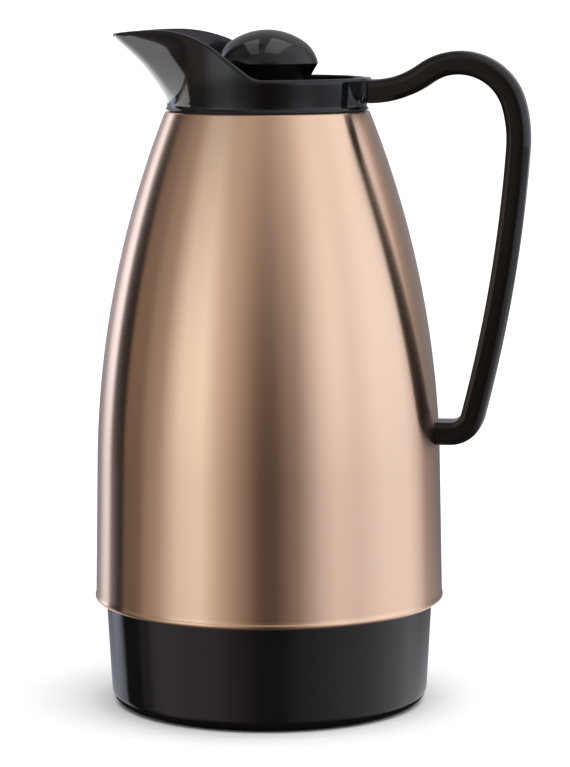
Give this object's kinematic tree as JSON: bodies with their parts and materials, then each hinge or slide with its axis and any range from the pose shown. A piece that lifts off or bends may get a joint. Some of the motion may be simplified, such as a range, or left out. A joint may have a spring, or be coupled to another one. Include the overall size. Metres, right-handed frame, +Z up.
{
  "type": "vacuum carafe",
  "caption": "Insulated pouring jug: tapered copper-toned steel shell around a glass vacuum liner, black spouted collar, arched bar handle, base cup and screw stopper with a domed knob.",
  "frame": {"origin": "centre of the flat ring under the base, on the axis of the jug", "axes": "+Z up along the jug's axis; -X towards the spout's lip; +X towards the handle; the plane y = 0 cuts spout and handle in half"},
  "size_m": [0.1731, 0.1392, 0.267],
  "materials": {
    "copper_steel": "satin, copper toned",
    "black_gloss_plastic": "gloss",
    "inner_plastic": "matt",
    "rubber": "matt",
    "silicone": "matt",
    "silvered_glass": "silvered on the vacuum side",
    "spacer": "matt",
    "steel": "plain",
    "foam": "foamed"
  },
  "bodies": {
    "jug": {"outer_shell": "copper_steel", "spout_collar": "black_gloss_plastic", "collar_lock_ring": "inner_plastic", "collar_gasket": "rubber", "neck_gasket": "rubber", "handle": "black_gloss_plastic", "handle_top_screw": "steel", "handle_foot_screws": "steel", "handle_backing_plate": "steel", "base_thread_ring": "inner_plastic", "base_cup": "black_gloss_plastic", "liner_cushion": "rubber", "liner_inner_glass": "silvered_glass", "liner_outer_glass": "silvered_glass", "liner_spacer_pads": "spacer"},
    "stopper_seal": {"stopper_gasket": "silicone"},
    "stopper": {"stopper_knob": "black_gloss_plastic", "stopper_plug": "black_gloss_plastic", "stopper_insulation": "foam", "stopper_bottom_cap": "black_gloss_plastic"}
  },
  "joints": [
    {"name": "stopper_lift", "type": "slide", "parent": "jug", "child": "stopper_seal", "axis": [0, 0, 1], "range_m": [0, 0.0652]},
    {"name": "stopper_turn", "type": "hinge", "parent": "stopper_seal", "child": "stopper", "pos_m": [0, 0, 0.24], "axis": [0, 0, 1], "range_deg": [0, 1956]}
  ],
  "couplings": [
    {"joint": "stopper_turn", "follows": "stopper_lift", "rad_per_m": 523.6}
  ]
}
